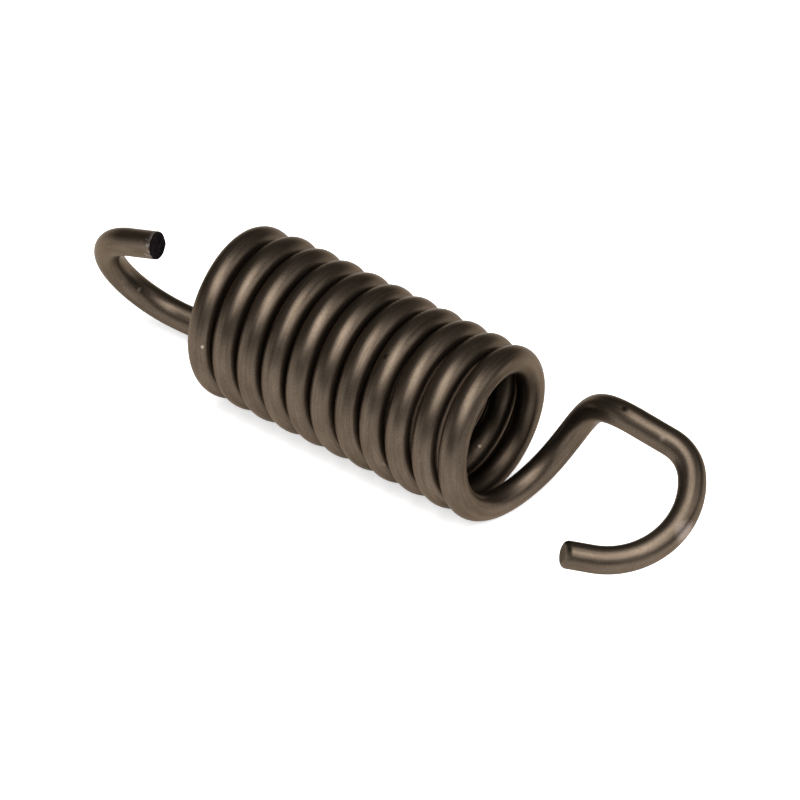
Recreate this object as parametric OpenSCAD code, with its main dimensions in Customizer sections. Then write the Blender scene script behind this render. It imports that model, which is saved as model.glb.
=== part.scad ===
// Extension spring wound from one round wire, with an open hook at each end.
// The spring lies on its side: X runs along the coil, Z is up, and the origin is
// under the middle of the spring, on the surface it lies on. Sizes are in millimetres.

/* [Wire] */
// Diameter of the wire
wire_d = 2; // [1.5:0.1:2.1]
// Width of the broken edge round each cut end
cut_edge = 0.14; // [0.05:0.01:0.4]

/* [Coil] */
// Diameter of the coil, from wire centre to wire centre
coil_d = 10.56; // [9.5:0.01:12]
// Clear gap between neighbouring turns
turn_gap = 0.195; // [0.08:0.005:1]
// Turns of wire between the two hooks
coil_turns = 10.45; // [4:0.01:16]
// Direction in which the right end of the coil points, seen along the spring
coil_end_angle = 228.5; // [215:0.5:245]

/* [Right hook] */
// Angle round the axis from the end of the coil to the straight run
right_run_turn = 157.8; // [150:0.1:175]
// Distance along the spring from the end of the coil to the straight run
right_rise = 8.48; // [7.5:0.01:10]
// How far the run lies inside the coil's centreline
right_inset = 0.13; // [0:0.01:1]
// Angle by which the run leans away from the axis
right_lean = 0.8; // [0:0.1:8]
// Angle by which the plane of the hook is turned out of the coil's direction
right_tilt = 15.2; // [0:0.1:20]
// Distance from the axis to the plane of the hook
right_shift = 0.39; // [0:0.01:1.5]
// Length of the straight run
right_run_l = 2.86; // [2:0.01:5]
// Centreline radius of the tight bend at the end of the run
right_knuckle_r = 3.32; // [2.8:0.01:4]
// Angle of the tight bend
right_knuckle_turn = 51.8; // [40:0.1:60]
// Centreline radius of the wide bend behind it
right_bow_r = 5.73; // [5:0.01:7]
// Angle of the wide bend
right_bow_turn = 106.7; // [90:0.1:120]
// Length of the straight tip
right_tip_l = 2.35; // [1:0.01:3]
// Stretch over which the wire keeps the slope of the coil
right_lead_out = 5.35; // [4:0.01:8]
// Stretch over which it straightens before the run
right_lead_in = 5.77; // [4:0.01:6.5]

/* [Left hook] */
// Angle round the axis from the end of the coil to the straight run
left_run_turn = 129.5; // [120:0.1:140]
// Distance along the spring from the end of the coil to the straight run
left_rise = 3.42; // [3.2:0.01:6]
// How far the run starts outside the coil's centreline
left_outset = 0.24; // [0:0.01:1]
// Angle by which the run leans towards the axis
left_lean = 12.4; // [5:0.1:16]
// Angle by which the plane of the hook is turned out of the coil's direction
left_tilt = 5.5; // [0:0.1:12]
// Distance from the axis to the plane of the hook
left_shift = 0.61; // [0:0.01:1.5]
// Length of the straight run
left_run_l = 3.35; // [2:0.01:5]
// Centreline radius of the bend at the end of the run
left_knuckle_r = 5.27; // [4.5:0.01:6]
// Angle of that bend
left_knuckle_turn = 122.8; // [110:0.1:130]
// Centreline radius of the slightly wider bend behind it
left_bow_r = 5.39; // [5:0.01:7]
// Angle of the wider bend
left_bow_turn = 23.3; // [10:0.1:35]
// Length of the straight tip
left_tip_l = 2.65; // [1:0.01:4]
// Stretch over which the wire keeps the slope of the coil
left_lead_out = 8; // [5:0.01:9]
// Stretch over which it straightens before the run
left_lead_in = 3; // [2.5:0.01:3.2]

/* [Hidden] */
steel = [0.33, 0.30, 0.27];

wire_r = wire_d / 2;
coil_r = coil_d / 2;
pitch = wire_d + turn_gap;
coil_angle = 360 * coil_turns;
coil_start_angle = coil_end_angle - coil_angle;

// Corners of the wire's section, and the steps along the wire
section_sides = 14;
coil_step = 12.9;
bend_step = 12;
lead_step = 1.1;

function unit(v) = v / norm(v);

// Point of the coil's centreline at an angle, and its direction of travel there
function coil_point(angle) = [
    pitch * (angle - coil_start_angle) / 360,
    coil_r * cos(angle),
    coil_r * sin(angle)
];
function coil_direction(angle) = unit([pitch / (2 * PI), -coil_r * sin(angle), coil_r * cos(angle)]);

// A wire bent in a plane is followed as [distance out, distance across, heading].
// A heading of 90 degrees points straight out along the hook.
function after_line(at, length) = [
    at[0] + length * sin(at[2]),
    at[1] - length * cos(at[2]),
    at[2]
];
function after_bend(at, radius, turn) = [
    at[0] + radius * (cos(at[2]) - cos(at[2] + turn)),
    at[1] + radius * (sin(at[2]) - sin(at[2] + turn)),
    at[2] + turn
];
function bend(at, radius, turn) =
    let (steps = ceil(turn / bend_step))
    [for (i = [1:1:steps]) after_bend(at, radius, turn * i / steps)];

// A wire that keeps to the coil is followed as on the coil's skin rolled out flat:
// [distance along the spring, distance from the axis, way round at the coil's centreline]
function way_round(angle) = coil_r * angle * PI / 180;
function rolled(at, start_angle) =
    let (angle = start_angle + at[2] / coil_r * 180 / PI)
    [at[0], at[1] * cos(angle), at[1] * sin(angle)];

// Smooth lead from one point and direction to another, without its first point
function lead(from, out, to, in) =
    let (steps = ceil(norm(to - from) / lead_step) + 1)
    [for (i = [1:1:steps])
        let (t = i / steps, u = 1 - t)
        u * u * u * from + 3 * u * u * t * (from + out) + 3 * u * t * t * (to - in) + t * t * t * to];

// Centreline of a hook, from the end of the coil outwards to the cut end.
// The wire runs on round the coil while it leads out to the straight run, which
// lies in the hook's own plane. The tip comes down across the axis from the run.
function hook(end_angle, end_at, end_direction, run_turn, rise, run_offset, lean, tilt, shift,
              run_l, knuckle_r, knuckle_turn, bow_r, bow_turn, tip_l, lead_out, lead_in) =
    let (
        run_angle = end_angle + run_turn,
        across = [0, -cos(run_angle), -sin(run_angle)],
        beside = [0, sin(run_angle), -cos(run_angle)],
        out = cos(tilt) * [1, 0, 0] + sin(tilt) * beside,
        aside = cos(tilt) * beside - sin(tilt) * [1, 0, 0],
        base = [end_at[0] + rise, 0, 0] - shift * aside,
        run_start = [0, -run_offset, 90 + lean],
        run_end = after_line(run_start, run_l),
        knuckle_end = after_bend(run_end, knuckle_r, knuckle_turn),
        bow_end = after_bend(knuckle_end, bow_r, bow_turn),
        plane_path = concat(
            [run_end],
            bend(run_end, knuckle_r, knuckle_turn),
            bend(knuckle_end, bow_r, bow_turn),
            [after_line(bow_end, tip_l - cut_edge), after_line(bow_end, tip_l)]
        ),
        run_at = base + run_start[1] * across,
        run_direction = sin(run_start[2]) * out - cos(run_start[2]) * across,
        run_at_angle = atan2(run_at[2], run_at[1]),
        run_at_r = norm([run_at[1], run_at[2]]),
        from_axis = [0, cos(run_at_angle), sin(run_at_angle)],
        round_axis = [0, -sin(run_at_angle), cos(run_at_angle)],
        turn_left = run_at_angle - end_angle,
        flat_path = lead(
            [end_at[0], coil_r, 0],
            lead_out * [end_direction[0], 0, norm([end_direction[1], end_direction[2]])],
            [run_at[0], run_at_r, way_round(turn_left - 360 * floor(turn_left / 360))],
            lead_in * [run_direction[0], run_direction * from_axis,
                       run_direction * round_axis * coil_r / run_at_r]
        )
    )
    concat(
        [for (at = flat_path) rolled(at, end_angle)],
        [for (at = plane_path) base + at[0] * out + at[1] * across]
    );

// Half a turn about the vertical, which makes either end of the coil the right one
function turned_round(points) = [for (p = points) [-p[0], -p[1], p[2]]];
function backwards(points) = [for (i = [len(points) - 1:-1:0]) points[i]];

coil_steps = ceil(coil_angle / coil_step);
coil_path = [for (i = [0:coil_steps]) coil_point(coil_start_angle + coil_angle * i / coil_steps)];

right_hook = hook(
    coil_end_angle,
    coil_path[coil_steps],
    coil_direction(coil_end_angle),
    right_run_turn, right_rise, coil_r - right_inset, -right_lean, right_tilt, right_shift,
    right_run_l, right_knuckle_r, right_knuckle_turn, right_bow_r, right_bow_turn, right_tip_l,
    right_lead_out, right_lead_in
);

left_end = turned_round([coil_path[0], -coil_direction(coil_start_angle)]);
left_hook = turned_round(hook(
    180 - coil_start_angle,
    left_end[0],
    left_end[1],
    left_run_turn, left_rise, coil_r + left_outset, left_lean, -left_tilt, left_shift,
    left_run_l, left_knuckle_r, left_knuckle_turn, left_bow_r, left_bow_turn, left_tip_l,
    left_lead_out, left_lead_in
));

wire_path = concat(backwards(left_hook), coil_path, right_hook);
last = len(wire_path) - 1;
spring_ends = [min([for (p = wire_path) p[0]]), max([for (p = wire_path) p[0]])];

// Direction of the wire at each point, and a side direction carried along it without twist
directions = [for (i = [0:last]) unit(wire_path[min(i + 1, last)] - wire_path[max(i - 1, 0)])];
function square_to(side, direction) = unit(side - (side * direction) * direction);
sides = [for (i = 0, side = square_to([0, 0, 1], directions[0]);
              i <= last;
              i = i + 1, side = square_to(side, directions[min(i, last)])) side];

// Round section swept along the wire's path, a little smaller at the two cut ends
module wire() {
    radii = [for (i = [0:last]) i == 0 || i == last ? wire_r - cut_edge : wire_r];
    corners = [
        for (i = [0:last], k = [0:section_sides - 1])
            let (angle = 360 * k / section_sides)
            wire_path[i] + radii[i] * (cos(angle) * sides[i] + sin(angle) * cross(directions[i], sides[i]))
    ];
    skin = [
        for (i = [0:last - 1], k = [0:section_sides - 1])
            let (a = i * section_sides + k, b = i * section_sides + (k + 1) % section_sides)
            each [[a, a + section_sides, b], [b, a + section_sides, b + section_sides]]
    ];
    left_face = [for (k = [0:section_sides - 1]) k];
    right_face = [for (k = [section_sides - 1:-1:0]) last * section_sides + k];
    polyhedron(corners, concat(skin, [left_face, right_face]));
}

module spring() {
    color(steel)
        translate([-(spring_ends[0] + spring_ends[1]) / 2, 0, coil_r + wire_r])
            wire();
}

spring();
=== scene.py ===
"""Looks of an extension spring: one oil-tempered wire with its cut ends, on a pale table."""
import math

import bpy
import numpy as np
from mathutils import Matrix, Vector


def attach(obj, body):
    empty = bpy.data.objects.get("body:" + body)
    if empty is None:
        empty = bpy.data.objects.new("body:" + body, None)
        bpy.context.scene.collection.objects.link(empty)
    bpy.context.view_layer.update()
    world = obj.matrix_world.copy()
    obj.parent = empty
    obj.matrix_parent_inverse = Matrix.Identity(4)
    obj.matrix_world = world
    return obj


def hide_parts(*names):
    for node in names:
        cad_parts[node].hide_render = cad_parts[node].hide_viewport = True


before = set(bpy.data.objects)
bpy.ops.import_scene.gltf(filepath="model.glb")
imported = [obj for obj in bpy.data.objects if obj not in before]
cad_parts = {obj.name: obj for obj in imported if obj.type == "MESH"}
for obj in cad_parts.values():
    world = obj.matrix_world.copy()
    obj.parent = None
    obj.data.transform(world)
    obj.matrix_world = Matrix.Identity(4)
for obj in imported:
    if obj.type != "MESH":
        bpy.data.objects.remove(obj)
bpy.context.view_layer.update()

# Sizes of the spring in millimetres, as in the part's source
MM = 0.001
WIRE_R = 1.0
COIL_R = 5.28
TURN_GAP = 0.195
COIL_TURNS = 10.45
COIL_END_ANGLE = 228.5
RIGHT_HOOK = dict(run_turn=157.8, rise=8.48, run_offset=COIL_R - 0.13, lean=-0.8, tilt=15.2, shift=0.39,
                  run_l=2.86, knuckle_r=3.32, knuckle_turn=51.8, bow_r=5.73, bow_turn=106.7, tip_l=2.35,
                  lead_out=5.35, lead_in=5.77)
LEFT_HOOK = dict(run_turn=129.5, rise=3.42, run_offset=COIL_R + 0.24, lean=12.4, tilt=-5.5, shift=0.61,
                 run_l=3.35, knuckle_r=5.27, knuckle_turn=122.8, bow_r=5.39, bow_turn=21.3, tip_l=2.65,
                 lead_out=8.0, lead_in=3.0)

PITCH = 2 * WIRE_R + TURN_GAP
COIL_ANGLE = 360 * COIL_TURNS
COIL_START_ANGLE = COIL_END_ANGLE - COIL_ANGLE

# The end turns stand a little off the regular coil. Each stretch is given by its middle, counted along
# the wire from the coil's end outwards, by its reach to either side, and by how far the wire stands off
# along the spring and towards the axis. The right end's stretches lie one turn apart.
RIGHT_END_TURNS = (
    dict(middle=-3.5, reach_in=16.6, reach_out=10.0, along=0.45, inward=0.0),
    dict(middle=-36.7, reach_in=16.6, reach_out=16.6, along=0.28, inward=0.0),
    dict(middle=-69.9, reach_in=16.6, reach_out=16.6, along=0.1, inward=0.0),
)
LEFT_END_TURNS = (
    dict(middle=0.6, reach_in=9.2, reach_out=11.0, along=-0.2, inward=0.2),
)

# Both ends are sheared at a slant. "toward" is the way to the side that is cut shortest, in the spring's
# own frame, and "longer" is how far the middle of the cut stands out past the straight tip. The left cut is
# fresh, with a burr and a torn face. The right one has been rubbed round and smooth.
LEFT_CUT = dict(longer=0.45, slant=18, toward=np.array([-0.43, 0.55, -0.53]),
                edge_r=0.03, burr=0.035, tear=0.12, grit=0.015)
RIGHT_CUT = dict(longer=-0.27, slant=25, toward=np.array([0.5, -0.62, 0.61]),
                 edge_r=0.34, burr=0.0, tear=0.02, grit=0.006)
# Stretch of the wire over which its skin is drawn out to the slanted cut
CUT_BLEND = 2.4
CUT_SEED = 4
# Rings of a cut end: turns over its rounded edge in degrees, and shares of the radius over its face
EDGE_TURNS = (18, 36, 54, 72, 90)
FACE_SHARES = (0.9, 0.7, 0.45, 0.2)

# Distance from the middle of the spring at which the painted shade inside the coil has faded away, and the
# fade
COIL_SHADE_END = 9.9
COIL_SHADE_FADE = 1.6

# Colours that the wire's oxide varies between, and its roughness
STEEL_DARK = "#4e443a"
STEEL_LIGHT = "#5c5146"
ROUGH_LOW = 0.34
ROUGH_HIGH = 0.43
# Tint of the sheen where the wire turns away from the eye, which the oxide dulls
OXIDE_RIM = "#d0c8c0"

# Patterns on the wire: patches to a millimetre along the wire and across it, and levels of finer detail.
# Draw marks are 4.5 mm long and 0.2 mm wide, coarser than the die's real lines, so that they show.
PATTERNS = dict(
    draw_marks=(0.22, 5.0, 3.0),
    clouds=(0.35, 0.9, 2.0),
    grain=(9.0, 9.0, 2.0),
    rubs=(1.1, 2.4, 4.0),
    tears=(2.2, 3.5, 3.0),
)
# Stretch behind the left cut over which the specks that the shear left thin out
TEAR_START = 0.1
TEAR_END = 1.3
# Depth of the relief that the draw marks and the grain give
RELIEF = 0.006
# Width of the patches on a cut face
CUT_MOTTLE = 0.4

# Handling marks: the place on the wire (mm along it, cosine and sine of the way round), the radius in mm,
# the colour, and how strongly the mark covers the oxide
MARKS = (
    # Nick, light speck and scuff on the right hook
    dict(spot=(398.8, 0.985, 0.174), radius=0.26, colour="#100c09", strength=0.9),
    dict(spot=(402.05, 0.766, 0.643), radius=0.25, colour="#8c7f73", strength=0.4),
    dict(spot=(409.6, 0.707, -0.707), radius=0.8, colour="#a2948c", strength=0.45),
    # Light specks on the left hook, on the first turn and inside the coil
    dict(spot=(11.79, -0.966, 0.259), radius=0.2, colour="#9a9088", strength=0.7),
    dict(spot=(42.97, 0.643, -0.766), radius=0.13, colour="#a89d92", strength=0.7),
    dict(spot=(320.6, 0.766, 0.643), radius=0.15, colour="#857b72", strength=0.35),
    # Pit in a middle turn
    dict(spot=(271.05, -0.940, 0.342), radius=0.24, colour="#1a140e", strength=0.7),
)

# Steps of the mesh along the wire, and round it
RING_STEP = 0.2
SIDES = 36

# Sockets of a colour mix node, which share their names with others
COLOUR_A = 6
COLOUR_B = 7
COLOUR_RESULT = 2


def unit(v):
    return v / np.linalg.norm(v)


def lengths_along(points):
    """How far along the wire each point lies."""
    return np.concatenate([[0], np.cumsum(np.linalg.norm(np.diff(points, axis=0), axis=1))])


def sin_deg(angle):
    return math.sin(math.radians(angle))


def cos_deg(angle):
    return math.cos(math.radians(angle))


def coil_point(angle):
    """Point of the coil's centreline at an angle."""
    along = PITCH * (angle - COIL_START_ANGLE) / 360
    return np.array([along, COIL_R * cos_deg(angle), COIL_R * sin_deg(angle)])


def coil_direction(angle):
    """Direction in which the coil's wire travels at an angle."""
    return unit(np.array([PITCH / math.tau, -COIL_R * sin_deg(angle), COIL_R * cos_deg(angle)]))


# A wire bent in a plane is followed as (distance out, distance across, heading)
def after_line(at, length):
    return (at[0] + length * sin_deg(at[2]), at[1] - length * cos_deg(at[2]), at[2])


def after_bend(at, radius, turn):
    heading = at[2] + turn
    return (at[0] + radius * (cos_deg(at[2]) - cos_deg(heading)),
            at[1] + radius * (sin_deg(at[2]) - sin_deg(heading)),
            heading)


def steps_of(length):
    """Shares of a stretch of wire at which it gets a ring, without its start."""
    count = max(1, math.ceil(length / RING_STEP))
    return [i / count for i in range(1, count + 1)]


def line(at, length):
    return [after_line(at, length * t) for t in steps_of(length)]


def bend(at, radius, turn):
    return [after_bend(at, radius, turn * t) for t in steps_of(radius * math.radians(turn))]


def lead(start, out, end, into):
    """Smooth stretch from one point and direction to another, without its first point."""
    points = []
    for t in steps_of(np.linalg.norm(end - start)):
        u = 1 - t
        first_half = u ** 3 * start + 3 * u * u * t * (start + out)
        points.append(first_half + 3 * u * t * t * (end - into) + t ** 3 * end)
    return points


def rolled(at, start_angle):
    """Point of a wire that keeps to the coil, from the coil's skin rolled out flat."""
    angle = start_angle + math.degrees(at[2] / COIL_R)
    return np.array([at[0], at[1] * cos_deg(angle), at[1] * sin_deg(angle)])


def hook(end_angle, end_at, end_direction, run_turn, rise, run_offset, lean, tilt, shift,
         run_l, knuckle_r, knuckle_turn, bow_r, bow_turn, tip_l, lead_out, lead_in):
    """Centreline of a hook, from the end of the coil outwards to the cut end."""
    run_angle = end_angle + run_turn
    along = np.array([1, 0, 0])
    across = np.array([0, -cos_deg(run_angle), -sin_deg(run_angle)])
    beside = np.array([0, sin_deg(run_angle), -cos_deg(run_angle)])
    out = cos_deg(tilt) * along + sin_deg(tilt) * beside
    aside = cos_deg(tilt) * beside - sin_deg(tilt) * along
    base = np.array([end_at[0] + rise, 0, 0]) - shift * aside
    run_start = (0, -run_offset, 90 + lean)
    run_end = after_line(run_start, run_l)
    knuckle_end = after_bend(run_end, knuckle_r, knuckle_turn)
    bow_end = after_bend(knuckle_end, bow_r, bow_turn)
    plane_path = (line(run_start, run_l) + bend(run_end, knuckle_r, knuckle_turn)
                  + bend(knuckle_end, bow_r, bow_turn) + line(bow_end, tip_l))
    run_at = base + run_start[1] * across
    run_direction = sin_deg(run_start[2]) * out - cos_deg(run_start[2]) * across
    run_at_r = math.hypot(run_at[1], run_at[2])
    from_axis = np.array([0, run_at[1], run_at[2]]) / run_at_r
    round_axis = np.cross(along, from_axis)
    turn_left = (math.degrees(math.atan2(run_at[2], run_at[1])) - end_angle) % 360
    flat_path = lead(
        np.array([end_at[0], COIL_R, 0]),
        lead_out * np.array([end_direction[0], 0, math.hypot(end_direction[1], end_direction[2])]),
        np.array([run_at[0], run_at_r, COIL_R * math.radians(turn_left)]),
        lead_in * np.array([run_direction[0], run_direction @ from_axis,
                            run_direction @ round_axis * COIL_R / run_at_r]))
    return ([rolled(at, end_angle) for at in flat_path]
            + [base + at[0] * out + at[1] * across for at in plane_path])


def turned_round(points):
    """Half a turn about the vertical, which makes either end of the coil the right one."""
    return [np.array([-p[0], -p[1], p[2]]) for p in points]


def set_off(points, outward, middle, reach_in, reach_out, along, inward):
    """Moves a stretch of the wire off the regular coil. "outward" is how far past the coil's end it lies."""
    away = outward - middle
    reach = np.clip(np.where(away < 0, -away / reach_in, away / reach_out), 0, 1)
    share = np.cos(reach * math.pi / 2)[:, None] ** 2
    from_axis = points * (0, 1, 1)
    from_axis /= np.linalg.norm(from_axis, axis=1)[:, None]
    return points + share * (np.array([along, 0, 0]) - inward * from_axis)


def wire_path():
    """Points along the whole wire, from the left cut end to the right one, in the spring's frame."""
    coil_l = COIL_TURNS * math.hypot(PITCH, math.tau * COIL_R)
    coil = [coil_point(COIL_START_ANGLE)]
    coil += [coil_point(COIL_START_ANGLE + COIL_ANGLE * t) for t in steps_of(coil_l)]
    right = hook(COIL_END_ANGLE, coil[-1], coil_direction(COIL_END_ANGLE), **RIGHT_HOOK)
    left_at, left_direction = turned_round([coil[0], -coil_direction(COIL_START_ANGLE)])
    left = turned_round(hook(180 - COIL_START_ANGLE, left_at, left_direction, **LEFT_HOOK))
    points = np.array(left[::-1] + coil + right)
    middle = (points[:, 0].min() + points[:, 0].max()) / 2
    run = lengths_along(points)
    for turn in LEFT_END_TURNS:
        points = set_off(points, run[len(left)] - run, **turn)
    for turn in RIGHT_END_TURNS:
        points = set_off(points, run - run[-1 - len(right)], **turn)
    return points + np.array([-middle, 0, COIL_R + WIRE_R])


def carried_sides(points):
    """Direction of the wire at each point, and a side direction carried along without twist."""
    ahead = np.vstack([points[1:], points[-1:]])
    behind = np.vstack([points[:1], points[:-1]])
    directions = ahead - behind
    directions /= np.linalg.norm(directions, axis=1)[:, None]
    side = np.array([0.0, 0.0, 1.0])
    sides = []
    for direction in directions:
        side = unit(side - (side @ direction) * direction)
        sides.append(side)
    return directions, np.array(sides)


def linear(hex_colour):
    """Colour of an sRGB hex value, as the shader wants it."""
    channels = [int(hex_colour[i:i + 2], 16) / 255 for i in (1, 3, 5)]
    return tuple(c / 12.92 if c <= 0.04045 else ((c + 0.055) / 1.055) ** 2.4 for c in channels) + (1.0,)


def node(tree, kind, settings=None, sockets=None, stops=None, **inputs):
    """Adds a shader node with its settings, its links and values by socket, and a ramp's two stops."""
    made = tree.nodes.new(kind)
    for name, value in (settings or {}).items():
        setattr(made, name, value)
    named = {name.replace("_", " "): value for name, value in inputs.items()}
    for name, value in {**named, **(sockets or {})}.items():
        if isinstance(value, bpy.types.NodeSocket):
            tree.links.new(value, made.inputs[name])
        else:
            made.inputs[name].default_value = value
    if stops:
        for element, (position, colour) in zip(made.color_ramp.elements, stops):
            element.position = position
            element.color = linear(colour)
    return made


def new_material(name):
    material = bpy.data.materials.new(name)
    material.use_nodes = True
    material.node_tree.nodes.clear()
    return material, material.node_tree


def oil_tempered_steel():
    """Oil-tempered spring wire: a thin brown-grey oxide over drawn steel, satin, with fine draw marks, and
    with painted shade inside the coil.
    """
    material, tree = new_material("oil_tempered_steel")
    place = node(tree, "ShaderNodeAttribute", {"attribute_name": "wire_place"}).outputs["Vector"]
    # How far the wire faces the inside of the coil, where its colour is darkened as painted shade
    inside = node(tree, "ShaderNodeAttribute", {"attribute_name": "coil_inside_shade"}).outputs["Fac"]
    pattern = {}
    for name, (along, across, detail) in PATTERNS.items():
        patches = node(tree, "ShaderNodeVectorMath", {"operation": "MULTIPLY"},
                       {0: place, 1: (along, across, across)}).outputs[0]
        pattern[name] = node(tree, "ShaderNodeTexNoise", None, {"Vector": patches},
                             Scale=1.0, Detail=detail).outputs["Fac"]

    # The nearer the left cut, the more of the pattern of tears shows
    from_cut = node(tree, "ShaderNodeSeparateXYZ", None, {"Vector": place}).outputs["X"]
    nearness = node(tree, "ShaderNodeMapRange", None, {"Value": from_cut},
                    From_Min=TEAR_START, From_Max=TEAR_END, To_Min=0.12, To_Max=-0.25).outputs[0]
    torn = node(tree, "ShaderNodeMath", {"operation": "ADD"}, {0: pattern["tears"], 1: nearness}).outputs[0]

    # Oxide in clouds, darkened by the draw marks and the grain
    base = node(tree, "ShaderNodeValToRGB", None, {"Fac": pattern["clouds"]},
                ((0.3, STEEL_DARK), (0.7, STEEL_LIGHT))).outputs["Color"]
    for name, strength, stops in (
            ("draw_marks", 0.5, ((0.3, "#b8b4b0"), (0.55, "#ffffff"))),
            ("grain", 0.35, ((0.3, "#a8a8a8"), (0.6, "#ffffff")))):
        shade = node(tree, "ShaderNodeValToRGB", None, {"Fac": pattern[name]}, stops).outputs["Color"]
        base = node(tree, "ShaderNodeMix", {"data_type": "RGBA", "blend_type": "MULTIPLY"},
                    {"Factor": strength, COLOUR_A: base, COLOUR_B: shade}).outputs[COLOUR_RESULT]

    # Light rubbed places, painted shade that darkens the wire's inner side within the coil, and tears
    for amount, blend, colour, stops in (
            (pattern["rubs"], "MIX", "#a09384", ((0.68, "#000000"), (0.78, "#6a6a6a"))),
            (inside, "MULTIPLY", "#a8a6a4", ((0.4, "#000000"), (0.85, "#ffffff"))),
            (torn, "MIX", "#a39a9c", ((0.58, "#000000"), (0.66, "#b0b0b0")))):
        cover = node(tree, "ShaderNodeValToRGB", None, {"Fac": amount}, stops).outputs["Color"]
        base = node(tree, "ShaderNodeMix", {"data_type": "RGBA", "blend_type": blend},
                    {"Factor": cover, COLOUR_A: base, COLOUR_B: linear(colour)}).outputs[COLOUR_RESULT]

    # Handling marks with ragged edges
    for mark in MARKS:
        radius, strength = mark["radius"], mark["strength"]
        apart = node(tree, "ShaderNodeVectorMath", {"operation": "DISTANCE"}, {0: place, 1: mark["spot"]})
        ragged = node(tree, "ShaderNodeMath", {"operation": "MULTIPLY_ADD"},
                      {0: pattern["grain"], 1: radius, 2: apart.outputs["Value"]})
        cover = node(tree, "ShaderNodeMapRange", None, {"Value": ragged.outputs[0]},
                     From_Min=0.9 * radius, From_Max=1.6 * radius, To_Min=strength, To_Max=0.0).outputs[0]
        marked = linear(mark["colour"])
        base = node(tree, "ShaderNodeMix", {"data_type": "RGBA", "blend_type": "MIX"},
                    {"Factor": cover, COLOUR_A: base, COLOUR_B: marked}).outputs[COLOUR_RESULT]

    roughness = node(tree, "ShaderNodeMapRange", None, {"Value": pattern["draw_marks"]},
                     To_Min=ROUGH_LOW, To_Max=ROUGH_HIGH)
    relief = node(tree, "ShaderNodeMath", {"operation": "MULTIPLY_ADD"},
                  {0: pattern["draw_marks"], 1: 1.5, 2: pattern["grain"]})
    bump = node(tree, "ShaderNodeBump", None, {"Height": relief.outputs[0]},
                Strength=0.25, Distance=RELIEF * MM)
    shader = node(tree, "ShaderNodeBsdfPrincipled", None,
                  {"Base Color": base, "Roughness": roughness.outputs[0], "Normal": bump.outputs[0]},
                  Metallic=1.0, Specular_Tint=linear(OXIDE_RIM))
    node(tree, "ShaderNodeOutputMaterial", None, {"Surface": shader.outputs["BSDF"]})
    return material


def cut_steel(name, dark, light, roughness):
    """Face of a cut wire end, mottled between two colours."""
    material, tree = new_material(name)
    place = node(tree, "ShaderNodeTexCoord").outputs["Object"]
    mottle = node(tree, "ShaderNodeTexNoise", None, {"Vector": place},
                  Scale=1 / (CUT_MOTTLE * MM), Detail=3.0)
    colour = node(tree, "ShaderNodeValToRGB", None, {"Fac": mottle.outputs["Fac"]},
                  ((0.4, dark), (0.65, light)))
    shader = node(tree, "ShaderNodeBsdfPrincipled", None, {"Base Color": colour.outputs["Color"]},
                  Metallic=1.0, Roughness=roughness, Specular_Tint=linear(OXIDE_RIM))
    node(tree, "ShaderNodeOutputMaterial", None, {"Surface": shader.outputs["BSDF"]})
    return material


def opal_acrylic():
    """Opal acrylic board of a light table: matt white, and lit from below, so no shadow is deep."""
    material, tree = new_material("opal_acrylic")
    white = linear("#ffffff")
    shader = node(tree, "ShaderNodeBsdfPrincipled", Roughness=0.9, Base_Color=white, Emission_Color=white,
                  Emission_Strength=0.6)
    node(tree, "ShaderNodeOutputMaterial", None, {"Surface": shader.outputs["BSDF"]})
    return material


def mesh_piece(name, points, faces, material, smooth=True):
    mesh = bpy.data.meshes.new(name)
    mesh.from_pydata([tuple(p) for p in points], [], faces)
    mesh.materials.append(material)
    mesh.polygons.foreach_set("use_smooth", [smooth] * len(mesh.polygons))
    mesh.update()
    piece = bpy.data.objects.new(name, mesh)
    bpy.context.scene.collection.objects.link(piece)
    return piece


def store(piece, name, kind, field, values):
    """Keeps values for the piece's points, which its material reads."""
    attribute = piece.data.attributes.new(name, kind, "POINT")
    attribute.data.foreach_set(field, values.reshape(-1).astype(np.float32))


def slant_back(cut, direction, ring):
    """How far the slanted cut lies behind its middle at each side, for each millimetre of radius."""
    toward = unit(cut["toward"] - (cut["toward"] @ direction) * direction)
    return math.tan(math.radians(cut["slant"])) * (ring @ toward)


def cut_end(centre, direction, ring, slant, cut, rng):
    """Rings of a sheared end, from the wire's skin to the middle of its face, and that middle."""
    # The burr is smoothed over neighbouring sides, all the way round
    rough = np.convolve(np.tile(rng.normal(size=SIDES), 3), (0.25, 0.5, 0.25), "same")[SIDES:2 * SIDES]
    rings = []
    for turn in EDGE_TURNS:
        burr = cut["burr"] * rough * sin_deg(turn)
        radius = WIRE_R - cut["edge_r"] * (1 - cos_deg(turn)) + burr
        back = cut["edge_r"] * (1 - sin_deg(turn)) - burr
        rings.append(centre + radius[:, None] * ring - (back + radius * slant)[:, None] * direction)
    for share in FACE_SHARES:
        radius = share * (WIRE_R - cut["edge_r"])
        dent = cut["tear"] * (1 - share) + cut["grit"] * rng.normal(size=SIDES)
        rings.append(centre + radius * ring - (dent + radius * slant)[:, None] * direction)
    return rings, centre - cut["tear"] * direction


def tube_faces(rings):
    """Faces of a closed tube: its skin, and a fan round the middle of each end."""
    faces = []
    for i in range(rings - 1):
        for k in range(SIDES):
            a, b = i * SIDES + k, i * SIDES + (k + 1) % SIDES
            faces.append((a, b, b + SIDES, a + SIDES))
    last_ring = (rings - 1) * SIDES
    left_middle, right_middle = rings * SIDES, rings * SIDES + 1
    for k in range(SIDES):
        n = (k + 1) % SIDES
        faces.append((n, k, left_middle))
        faces.append((last_ring + k, last_ring + n, right_middle))
    return faces


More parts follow.
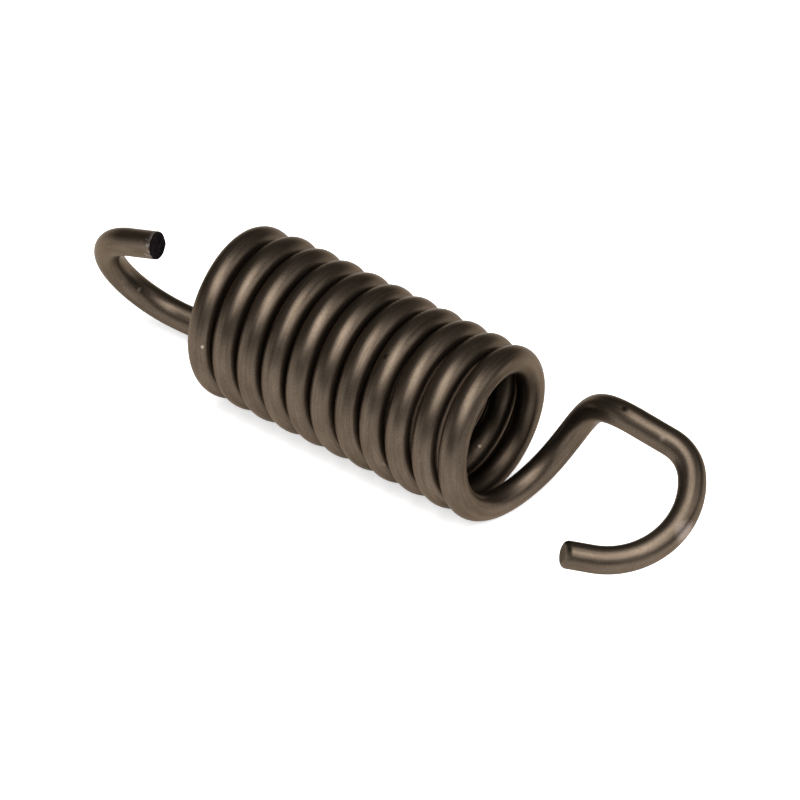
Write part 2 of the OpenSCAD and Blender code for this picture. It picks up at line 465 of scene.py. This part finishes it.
def spring_wire(steel, torn, worn):
    """The whole wire, ring by ring, with a torn face at its left end and a worn one at its right end."""
    path = wire_path()
    directions, sides = carried_sides(path)
    ups = np.cross(directions, sides)
    along = lengths_along(path)
    angles = np.arange(SIDES) * math.tau / SIDES
    ring = np.cos(angles)[None, :, None] * sides[:, None] + np.sin(angles)[None, :, None] * ups[:, None]
    skin = path[:, None] + WIRE_R * ring
    rng = np.random.default_rng(CUT_SEED)
    cut_rings, middles = [], []
    for end, outward, cut in ((0, -1, LEFT_CUT), (-1, 1, RIGHT_CUT)):
        direction = outward * directions[end]
        slant = slant_back(cut, direction, ring)
        ease = np.clip(1 - np.abs(along - along[end]) / CUT_BLEND, 0, 1) ** 2
        move = cut["longer"] - cut["edge_r"] - WIRE_R * slant
        skin += (ease[:, None] * move)[:, :, None] * direction
        centre = path[end] + cut["longer"] * direction
        rings, middle = cut_end(centre, direction, ring[end], slant[end], cut, rng)
        cut_rings.append(rings)
        middles.append(middle)
    grid = np.concatenate([cut_rings[0][::-1], skin, cut_rings[1]])
    points = np.concatenate([grid.reshape(-1, 3), middles]) * MM
    piece = mesh_piece("spring_wire", points, tube_faces(len(grid)), steel)

    # The cut faces lie inside the last ring of each rounded edge
    piece.data.materials.append(torn)
    piece.data.materials.append(worn)
    for polygon in piece.data.polygons:
        ring_number = min(polygon.vertices) // SIDES
        if ring_number < len(FACE_SHARES):
            polygon.material_index = 1
        elif ring_number >= len(grid) - 1 - len(FACE_SHARES):
            polygon.material_index = 2

    # Place on the wire: millimetres along it, and the cosine and sine of the way round it
    place = np.empty((len(grid), SIDES, 3))
    place[:, :, 0] = np.pad(along, len(EDGE_TURNS) + len(FACE_SHARES), mode="edge")[:, None]
    place[:, :, 1] = np.cos(angles)
    place[:, :, 2] = np.sin(angles)
    place = np.concatenate([place.reshape(-1, 3), [(0, 0, 0), (along[-1], 0, 0)]])
    store(piece, "wire_place", "FLOAT_VECTOR", "vector", place)

    # How far a point faces the inside of the coil, which sets how deep the painted shade there is
    from_axis = np.hypot(points[:, 1], points[:, 2] - (COIL_R + WIRE_R) * MM) / MM
    in_coil = np.clip((COIL_SHADE_END - np.abs(points[:, 0]) / MM) / COIL_SHADE_FADE, 0, 1)
    store(piece, "coil_inside_shade", "FLOAT", "value", np.clip((COIL_R - from_axis) / WIRE_R, 0, 1) * in_coil)
    return piece


wire = spring_wire(
    oil_tempered_steel(),
    # Steel torn by the shear and black with oxide: dull and nearly black
    cut_steel("sheared_steel", dark="#1b181b", light="#2e2a2c", roughness=0.7),
    # Cut steel rubbed smooth and browned like the wire: satin brown
    cut_steel("worn_cut_steel", dark="#3a332b", light="#494038", roughness=0.5),
)
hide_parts("spring")
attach(wire, "root")

# Table: a pale board under the spring, reaching past the picture on all sides
TABLE_W = 1.6
table = mesh_piece(
    "table",
    [(-TABLE_W, -TABLE_W, 0), (TABLE_W, -TABLE_W, 0), (TABLE_W, TABLE_W, 0), (-TABLE_W, TABLE_W, 0)],
    [(0, 1, 2, 3)],
    opal_acrylic(),
    smooth=False,
)

# The photograph's view: nearly parallel, from a long way off
VIEW_AZIMUTH = 39.0
VIEW_ELEVATION = 37.46
VIEW_DISTANCE = 1.4
PIXELS_PER_MM = 14.38
IMAGE_W = 800
SENSOR_W = 36
# The coil's reference point, and the pixel of the 800 x 800 picture where it shows
REFERENCE = Vector((-1.705, 0, COIL_R + WIRE_R)) * MM
REFERENCE_PIXEL = (375.48, 374.23)

# Distance of the soft lights, and the even light from all round
LIGHT_DISTANCE = 0.7
ROOM_LIGHT = 0.18


def way_to(azimuth, elevation):
    """Direction from the spring to a place. Azimuth 0 is the front and 90 the right end."""
    a, e = math.radians(azimuth), math.radians(elevation)
    return Vector((math.sin(a) * math.cos(e), -math.cos(a) * math.cos(e), math.sin(e)))


def add_camera():
    data = bpy.data.cameras.new("camera")
    data.sensor_width = SENSOR_W
    data.lens = PIXELS_PER_MM * VIEW_DISTANCE / MM * SENSOR_W / IMAGE_W
    camera = bpy.data.objects.new("camera", data)
    bpy.context.scene.collection.objects.link(camera)
    back = way_to(VIEW_AZIMUTH, VIEW_ELEVATION)
    right = Vector((0, 0, 1)).cross(back).normalized()
    up = back.cross(right)
    centre = IMAGE_W / 2
    aim = (REFERENCE + right * (centre - REFERENCE_PIXEL[0]) / PIXELS_PER_MM * MM
           - up * (centre - REFERENCE_PIXEL[1]) / PIXELS_PER_MM * MM)
    rotation = Matrix((right, up, back)).transposed().to_4x4()
    camera.matrix_world = Matrix.Translation(aim + back * VIEW_DISTANCE) @ rotation
    bpy.context.scene.camera = camera


def softbox(name, azimuth, elevation, wide, high, radiance):
    """Soft light that shows from the spring in a direction, with a width and a height in degrees."""
    data = bpy.data.lights.new(name, "AREA")
    data.shape = "RECTANGLE"
    data.size = 2 * LIGHT_DISTANCE * math.tan(math.radians(wide / 2))
    data.size_y = 2 * LIGHT_DISTANCE * math.tan(math.radians(high / 2))
    data.energy = radiance * math.pi * data.size * data.size_y
    light = bpy.data.objects.new(name, data)
    bpy.context.scene.collection.objects.link(light)
    back = way_to(azimuth, elevation)
    light.location = back * LIGHT_DISTANCE
    light.rotation_euler = back.to_track_quat("Z", "Y").to_euler()


def studio_light():
    world = bpy.data.worlds.new("studio")
    world.use_nodes = True
    background = world.node_tree.nodes["Background"]
    background.inputs["Color"].default_value = linear("#ffffff")
    background.inputs["Strength"].default_value = ROOM_LIGHT
    bpy.context.scene.world = world
    # No film curve, so the table goes to the photograph's pure white
    bpy.context.scene.view_settings.view_transform = "Standard"
    softbox("key", azimuth=46, elevation=60, wide=44, high=40, radiance=5.5)
    softbox("top", azimuth=0, elevation=83, wide=32, high=32, radiance=3.9)
    softbox("side", azimuth=92, elevation=38, wide=60, high=26, radiance=2.2)
    softbox("left_fill", azimuth=-36, elevation=12, wide=26, high=26, radiance=1.0)
    softbox("front_fill", azimuth=0, elevation=38, wide=26, high=26, radiance=0.5)


add_camera()
studio_light()
